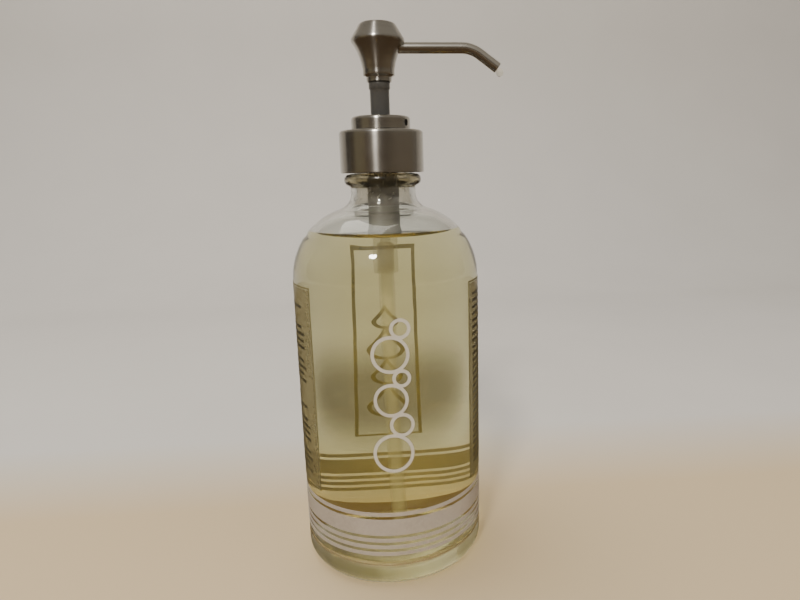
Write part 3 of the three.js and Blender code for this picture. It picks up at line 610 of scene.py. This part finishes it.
def ink_patch(s0, s1, z0, z1, azimuth, lift=0.0, columns=24):
    """A rectangle of ink as a closed box that follows the glass, in columns along its width."""
    s = np.linspace(s0, s1, columns)
    cut = [(z0, INK_IN), (z0, INK_OUT + lift), (z1, INK_OUT + lift), (z1, INK_IN)]
    points = np.stack([on_glass(s, z, r, azimuth) for z, r in cut], 1)
    end_cap = 4 * columns - 4 + np.arange(4)
    sides = grid_faces(columns, 4, False, True)
    return points.reshape(-1, 3), np.concatenate([sides, [[3, 2, 1, 0], end_cap]])


half, BORDER_W, WASH_IN = math.radians(36) * BODY_R, 0.7, 1
ROW_PITCH, ROW_HIGH, DASH_GAP, DASH_LIFT = 2.7, 1.0, 0.8, 0.06
washes, borders, ticks = [], [], []
chance = np.random.default_rng(7)
for hand, azimuth in (("left", -86), ("right", 92)):
    points, faces = ink_patch(WASH_IN - half, half - WASH_IN, PANEL_Z0 + WASH_IN, PANEL_Z1 - WASH_IN, azimuth)
    washes.append(link_mesh(hand + "_panel_wash", points, faces.tolist(), "bottle"))
    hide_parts(hand + "_panel")
    inner = framed(BORDER_W - half, half - BORDER_W, PANEL_Z0 + BORDER_W, PANEL_Z1 - BORDER_W)
    points, faces = ink_loop(framed(-half, half, PANEL_Z0, PANEL_Z1), inner, azimuth)
    borders.append(link_mesh(hand + "_panel_border", points, faces.tolist(), "bottle"))
    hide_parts(hand + "_border")
    parts = []
    for z in np.arange(PANEL_Z1 - 6, PANEL_Z0 + 3, -ROW_PITCH):
        at, row_end = 3.5 - half, half - chance.uniform(6, 9)
        while at < row_end:
            long = chance.uniform(2.0, 5.5)
            parts.append(ink_patch(at, min(at + long, row_end + 1), z, z + ROW_HIGH, azimuth, DASH_LIFT, 5))
            at += long + DASH_GAP
            if chance.random() < 0.04:
                break
    points, faces = joined(parts)
    ticks.append(link_mesh(hand + "_panel_ticks", points, faces, "bottle"))
wash, skin = enamel("olive_wash_enamel", "#857D5A", "#766E4C", 0.42)
show(wash, skin, *washes)
line_ink, skin = enamel("dark_olive_enamel", "#423E2D", "#363225")
show(line_ink, skin, *ticks)
border_ink, skin = enamel("olive_border_enamel", "#7A724F", "#6C6444", 0.25)
show(border_ink, skin, *borders)

# ---- Cap ----
# The cover of the screw closure: stainless sheet, drawn into a cup with a rounded top edge and
# brushed round and round on a lathe. It is pressed over the plastic liner.


def brushed(name, light, dark, roughness):
    """Brushed stainless steel: rings of fine scratches follow the turning, so the pattern is
    noise stretched round the axis and packed tight along height plus radius."""
    made, tree = material(name)
    spot = node(tree, "ShaderNodeTexCoord")
    centred = node(tree, "ShaderNodeVectorMath", _0=spot.outputs["Object"], _1=(-AXIS_X, 0, 0))
    apart = node(tree, "ShaderNodeSeparateXYZ", Vector=centred.outputs[0])
    flat = node(tree, "ShaderNodeVectorMath", {"operation": "MULTIPLY"}, _0=centred.outputs[0], _1=(1, 1, 0))
    far = node(tree, "ShaderNodeVectorMath", {"operation": "LENGTH"}, _0=flat.outputs[0])
    along = calc(tree, "ADD", apart.outputs["Z"], far.outputs["Value"])
    packed = calc(tree, "MULTIPLY", along, 3800)
    round_x = calc(tree, "MULTIPLY", apart.outputs["X"], 70)
    round_y = calc(tree, "MULTIPLY", apart.outputs["Y"], 70)
    wound = node(tree, "ShaderNodeCombineXYZ", _0=round_x, _1=round_y, _2=packed)
    scratch = node(tree, "ShaderNodeTexNoise", Vector=wound.outputs[0], Scale=1, Detail=4, Roughness=0.7)
    smudge = noise(tree, 120, 3)
    tone = mix(tree, scratch.outputs[0], dark, light)
    rough = remap(tree, smudge, 0.3, 0.7, roughness - 0.02, roughness + 0.03)
    relief = node(tree, "ShaderNodeBump", Strength=0.05, Distance=0.00003, Height=scratch.outputs[0])
    around = node(tree, "ShaderNodeTangent", {"direction_type": "RADIAL", "axis": "Z"})
    skin = node(tree, "ShaderNodeBsdfPrincipled", Base_Color=tone, Metallic=1.0, Roughness=rough,
                Anisotropic=0.94, Anisotropic_Rotation=0.25,
                Normal=relief.outputs[0], Tangent=around.outputs[0])
    return made, skin


CAP_R, CAP_IN, CAP_Z0, CAP_Z1, CAP_ROUND = 16.4, 10.2, 158.8, 174.8, 1.3
cap_profile = np.concatenate([
    line(15.9, CAP_Z0, 16.3, CAP_Z0, 1),
    arc(16.3, 158.95, 0.1, -90, 0, 3),
    line(CAP_R, 159.5, CAP_R, 173.5, 8),
    arc(CAP_R - CAP_ROUND, CAP_Z1 - CAP_ROUND, CAP_ROUND, 0, 90, 10),
    line(15, CAP_Z1, CAP_IN, CAP_Z1, 5),
    line(CAP_IN, CAP_Z1, CAP_IN, 174.3, 1),
    line(CAP_IN, 174.3, 15.0, 174.3, 2),
    arc(15.1, 173.5, 0.8, 90, 0, 6),
    line(15.9, 173, 15.9, 158.9, 4),
])
points, faces, _ = turned(cap_profile, 144)
cap = link_mesh("cap_steel", points, faces, "closure")
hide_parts("cap_shell")

# ---- Collar ----
# The steel cover of the pump's neck, drawn and brushed like the cap, with a small round hole
# low on its right side. The grey core shows at the hole and round the stem.
COLLAR_R, COLLAR_Z1, COLLAR_ROUND = 11.45, 180, 1.2
collar_profile = np.concatenate([
    line(10.95, 175.15, 11.4, 175.1, 1),
    line(COLLAR_R, 175.2, COLLAR_R, 178.8, 10),
    arc(COLLAR_R - COLLAR_ROUND, COLLAR_Z1 - COLLAR_ROUND, COLLAR_ROUND, 0, 90, 10),
    line(10, COLLAR_Z1, 4.6, COLLAR_Z1, 4),
    arc(4.6, 179.85, 0.15, 90, 180, 3),
    line(4.45, 179.6, 4.45, 179.5, 1),
    line(4.45, 179.5, 10.2, 179.5, 2),
    arc(10.25, 178.8, 0.7, 90, 0, 5),
])
points, faces, _ = turned(collar_profile, 144)
collar = link_mesh("collar_steel", points, faces, "pump_body")
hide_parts("collar_shell")

# The hole is cut clean through the shell with a round cutter of its own radius.
HOLE_AZ, HOLE_Z, HOLE_R = math.radians(58), 177.4, 1.3
b = np.linspace(0, 2 * math.pi, 40, endpoint=False)
out = np.repeat([[9.9], [12.4]], 40, 1)
across, up = (np.tile(HOLE_R * part, (2, 1)) for part in (np.cos(b), np.sin(b)))
sine, cosine = math.sin(HOLE_AZ), math.cos(HOLE_AZ)
bore = np.stack([out * sine + across * cosine, across * sine - out * cosine, HOLE_Z + up], -1)
caps = [list(range(39, -1, -1)), list(range(40, 80))]
cutter = link_mesh("hole_cutter", bore.reshape(-1, 3), grid_faces(2, 40, False, True).tolist() + caps)
hole = collar.modifiers.new("hole", "BOOLEAN")
hole.object, hole.solver = cutter, "EXACT"
shape = bpy.data.meshes.new_from_object(collar.evaluated_get(bpy.context.evaluated_depsgraph_get()))
collar.modifiers.clear()
collar.data = shape
collar.data.set_sharp_from_angle(angle=math.radians(35))
bpy.data.objects.remove(cutter)

# ---- Head ----
# The press knob: stainless, turned and brushed, a foot ring, a short cylinder, a hollow flare,
# a rounded ridge and a low cone up to a nearly flat top.
knee = np.array([
    [4.3, 192.95], [4.75, 192.9], [4.8, 192.95], [4.8, 193.4], [4.8, 194.3], [4.85, 194.55],
    [5.3, 194.85], [5.95, 195.2], [6.05, 195.35], [6.05, 196.2], [6.05, 197.2], [6.15, 197.75],
    [6.3, 198.25], [6.48, 199.2], [6.75, 200.3], [7.06, 201.4], [7.45, 202.5], [7.94, 203.65],
    [8.5, 204.8], [9.12, 205.86], [9.8, 206.85], [10.03, 207.25], [10.14, 207.6], [10.15, 207.95],
    [10.08, 208.3], [9.9, 208.7], [9.3, 209.7], [8.6, 210.85], [7.9, 212.0], [7.35, 212.9],
    [7.05, 213.35], [6.75, 213.65], [6.3, 213.86], [5.6, 213.96], [4.5, 214], [2, 214], [0, 214]])
under = np.array([
    [0, 213.3], [5.7, 213.3], [9.1, 208.5], [9.3, 207.8], [7.8, 205.0],
    [6.05, 200.5], [5.4, 197.5], [5.4, 195.5], [4.3, 195.0]])
points, faces, _ = turned(np.concatenate([under, knee]), 144)
head = link_mesh("head_steel", points, faces, "actuator", smooth=35)
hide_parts("head_shell")
steel, skin = brushed("stainless_steel_brushed_round", "#CBC8C1", "#A9A69F", 0.24)
show(steel, skin, cap, collar, head)

# ---- Spout ----
# Thin stainless tube, bent down near its end, polished bright. It is pressed into the head.
SPOUT_Z, BEND_X, BEND_R, BEND, TIP_X = 205.3, 32, 12.5, math.radians(36), 46.3
TUBE_INNER, TUBE_OUTER = 1.6, 2.1
t = np.linspace(0, 1, 24)
straight = np.stack([np.linspace(4.2, BEND_X, 16)[:-1], np.full(15, SPOUT_Z)], -1)
bent = np.stack([BEND_X + BEND_R * np.sin(BEND * t), SPOUT_Z - BEND_R * (1 - np.cos(BEND * t))], -1)
after = (TIP_X - bent[-1, 0]) / math.cos(BEND)
last = bent[-1] + np.linspace(0, after, 8)[1:, None] * [math.cos(BEND), -math.sin(BEND)]
spine = np.concatenate([straight, bent, last])


def tube(spine_xz, inner, outer, sides=48):
    """A pipe along a line in the XZ plane: at each point the outer circle, then back along the
    inner circle, both square to the line, so the wall is one closed skin."""
    step = np.gradient(spine_xz, axis=0)
    step /= np.linalg.norm(step, axis=1, keepdims=True)
    normal = np.stack([-step[:, 1], step[:, 0]], -1)
    b = np.linspace(0, 2 * math.pi, sides, endpoint=False)
    lip = (outer - inner) * 0.25
    path = np.concatenate([spine_xz, spine_xz[-1:], spine_xz[::-1]])
    across = np.concatenate([normal, normal[-1:], normal[::-1]])
    n = len(spine_xz)
    radius = np.repeat([outer, (inner + outer) / 2, inner], [n, 1, n])[:, None]
    path[n - 1] = path[n + 1] = spine_xz[-1] - step[-1] * lip
    up = radius * np.cos(b)
    points = np.stack([path[:, :1] + across[:, :1] * up, radius * np.sin(b),
                       path[:, 1:] + across[:, 1:] * up], -1)
    return points.reshape(-1, 3), grid_faces(len(path), sides, True, True)


points, faces = tube(spine, TUBE_INNER, TUBE_OUTER)
spout = link_mesh("spout_tube", points, faces.tolist(), "actuator")
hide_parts("spout")
bright, tree = material("stainless_steel_polished")
faint = noise(tree, 260, 3)
rough = remap(tree, faint, 0.3, 0.75, 0.22, 0.28)
tone = mix(tree, faint, "#DAD6CE", "#C6C2B9")
show(bright, node(tree, "ShaderNodeBsdfPrincipled", Base_Color=tone, Metallic=1.0, Roughness=rough), spout)

# ---- Soap drop ----
# The last drop of soap, held by its own skin under the spout's mouth.
drop_x, drop_z = TIP_X + 1.6 * math.cos(BEND) - 0.55, last[-1, 1] - 1.6 * math.sin(BEND) - 0.72
v = np.linspace(-math.pi / 2, math.pi / 2, 25)
hang = np.stack([1.4 * np.cos(v), 1.54 * np.sin(v)], -1)
hang[[0, -1], 0] = 0
points, faces, _ = turned(hang, 48)
points = points + [drop_x, 0, drop_z]
bead = link_mesh("soap_bead", points, faces, "actuator")
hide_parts("soap_drop")
drop_soap, tree = material("liquid_soap_drop")
show(drop_soap, clear(tree, 1.36, "#F2F0E6"), bead)

# ---- Stem ----
# The pump rod: satin grey plastic, moulded, with a ring where the head seats on it.
stem_profile = np.concatenate([
    [[1.6, 164.7], [2.55, 164.7], [2.6, 164.8], [2.6, 170.2]],
    line(3.75, 170.2, 3.75, 189.9, 12),
    [[3.75, 189.95], [3.9, 190.15], [4.1, 190.45], [4.1, 192.6], [4.0, 192.8],
     [3.4, 192.8], [3.4, 200], [1.6, 200]],
])
points, faces, _ = turned(stem_profile, 96)
stem = link_mesh("stem_rod", points, faces, "actuator")
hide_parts("stem")


def moulded(name, light, dark, roughness, alpha=1.0):
    """Moulded plastic: near-even colour, a fine satin skin and a slow unevenness in its gloss."""
    made, tree = material(name)
    cloud = noise(tree, 150, 2)
    fine = noise(tree, 2500, 1)
    tone = mix(tree, cloud, light, dark)
    rough = remap(tree, cloud, 0.3, 0.7, roughness - 0.05, roughness + 0.05)
    relief = node(tree, "ShaderNodeBump", Strength=0.2, Distance=0.00003, Height=fine)
    skin = node(tree, "ShaderNodeBsdfPrincipled", Base_Color=tone, Roughness=rough, Normal=relief.outputs[0],
                Alpha=alpha)
    return made, skin


grey, skin = moulded("acetal_moulded_grey", "#4C4C4B", "#424241", 0.22)
show(grey, skin, stem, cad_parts["collar_core"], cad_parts["head_core"])

# ---- Pump barrel ----
# The pump's barrel hangs in the neck from its flange: natural polypropylene, moulded, with a
# flared foot and a narrower valve seat that holds the suction tube.
LEDGE = 137.3
barrel_profile = np.concatenate([
    [[2.6, 118.2], [3.6, 118.2], [3.75, 118.4], [3.75, 126], [3.75, LEDGE - 3.0],
     [4.1, LEDGE - 2.8], [6.2, LEDGE - 2.6], [6.75, LEDGE - 2.4], [6.9, LEDGE - 1.9],
     [6.85, LEDGE - 1.2], [6.55, LEDGE - 0.2], [6.35, LEDGE + 0.9], [6.3, LEDGE + 2]],
    line(6.3, 140, 6.3, 168, 8),
    [[7.2, 169.5], [12.6, 169.5], [12.6, 171.1], [9.7, 171.1], [9.7, 175.2], [7.6, 175.2],
     [7.6, 170.6], [5, 170.6], [5, LEDGE], [2.35, LEDGE], [2.35, LEDGE - 3.3], [3, LEDGE - 4.1],
     [3, LEDGE - 7.4], [1.5, LEDGE - 9.2], [1.5, LEDGE - 11.5], [2.6, LEDGE - 11.5]],
])
points, faces, barrel_rows = turned(barrel_profile, 96)
barrel = link_mesh("pump_barrel", points, faces, "pump_body")
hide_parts("housing")
natural, skin = moulded("polypropylene_moulded_natural", "#7F7C74", "#726F68", 0.4, 0.8)
liner_nodes = [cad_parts[n] for n in ("piston_seal", "poppet", "cap_liner")]
show(natural, skin, barrel, *liner_nodes)
# The same plastic below the flare is thin and wetted by soap, so it shows only as a pale haze.
thin, skin = moulded("polypropylene_thin_wetted", "#D9D3BE", "#CCC6B0", 0.4, 0.2)
show(thin, skin)
barrel.data.materials.append(thin)
low_rows = (barrel_profile[barrel_rows, 1] < LEDGE - 2.9).astype(np.int32)
barrel.data.polygons.foreach_set("material_index", low_rows)

# ---- Suction tube ----
# Soft polyethylene tube, extruded, milky and half see-through, leaning a little to the right
# on its way down. Its end is cut at a slant just over the floor.
SUCTION_INNER, SUCTION_OUTER, SLANT_Z, SLANT = 1.7, 2.4, 16, 0.6
u = np.linspace(0, 1, 40)[:, None]
v = 1 - u
ends = np.array([[0, 125.8], [0, 85.8], [0.45, 49.5], [1.5, 9.5]])
curve = v ** 3 * ends[0] + 3 * v ** 2 * u * ends[1] + 3 * v * u ** 2 * ends[2] + u ** 3 * ends[3]
points, faces = tube(curve, SUCTION_INNER, SUCTION_OUTER)
tip = points[:, 2] < SLANT_Z
points[tip, 2] += SLANT * (points[tip, 0] - 1.5) * np.clip((SLANT_Z - points[tip, 2]) / 5, 0, 1)
suction = link_mesh("suction_tube", points, faces.tolist(), "pump_body")
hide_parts("dip_tube")
milky, skin = moulded("polyethylene_extruded_milky", "#DAD4BE", "#D0CAB4", 0.35, 0.18)
show(milky, skin, suction)

# ---- Gasket and valve ball ----
# A grey foam ring, cut from sheet, seals the flange to the glass. The valve's ball is bright
# stainless, ground round, and lies loose on its seat, out of sight in the barrel.
foam, tree = material("polyethylene_foam_cut_sheet")
spot = node(tree, "ShaderNodeTexCoord")
cells = node(tree, "ShaderNodeTexVoronoi", Vector=spot.outputs["Object"], Scale=2200)
tone = mix(tree, cells.outputs[0], "#E2DFD7", "#C6C2B9")
dents = node(tree, "ShaderNodeBump", Strength=0.4, Distance=0.0001, Height=cells.outputs[0])
skin = node(tree, "ShaderNodeBsdfPrincipled", Base_Color=tone, Roughness=0.85, Normal=dents.outputs[0])
show(foam, skin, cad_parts["gasket"])
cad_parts["inlet_ball"].data.materials.clear()
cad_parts["inlet_ball"].data.materials.append(bright)

# ---- Return spring ----
# Hard-drawn stainless wire, coiled. Its foot stands on the ledge of the barrel.
SPRING_R, WIRE_R, TURNS, SPRING_Z0, SPRING_Z1, STROKE = 3.9, 0.4, 7, 137.75, 162.65, 10
t = np.linspace(0, 2 * math.pi * TURNS, 36 * TURNS + 1)[:, None]
b = np.linspace(0, 2 * math.pi, 12, endpoint=False)
climb = (SPRING_Z1 - SPRING_Z0) / (2 * math.pi * TURNS)
slope = np.array([climb, SPRING_R]) / math.hypot(climb, SPRING_R)
outward, sideways = WIRE_R * np.cos(b), WIRE_R * np.sin(b)
far = SPRING_R + outward
lean = sideways * slope[0]
points = np.stack([far * np.cos(t) + lean * np.sin(t), far * np.sin(t) - lean * np.cos(t),
                   SPRING_Z0 + climb * t + sideways * slope[1]], -1).reshape(-1, 3)
last_ring = np.arange(len(points) - 12, len(points))
faces = grid_faces(len(t), 12, False, True)[:, ::-1].tolist() + [list(range(12)), last_ring[::-1].tolist()]
coil = link_mesh("return_spring", points, faces, "pump_body")
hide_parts("spring")
coil.data.materials.append(bright)
foot = SPRING_Z0 - WIRE_R
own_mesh(coil)
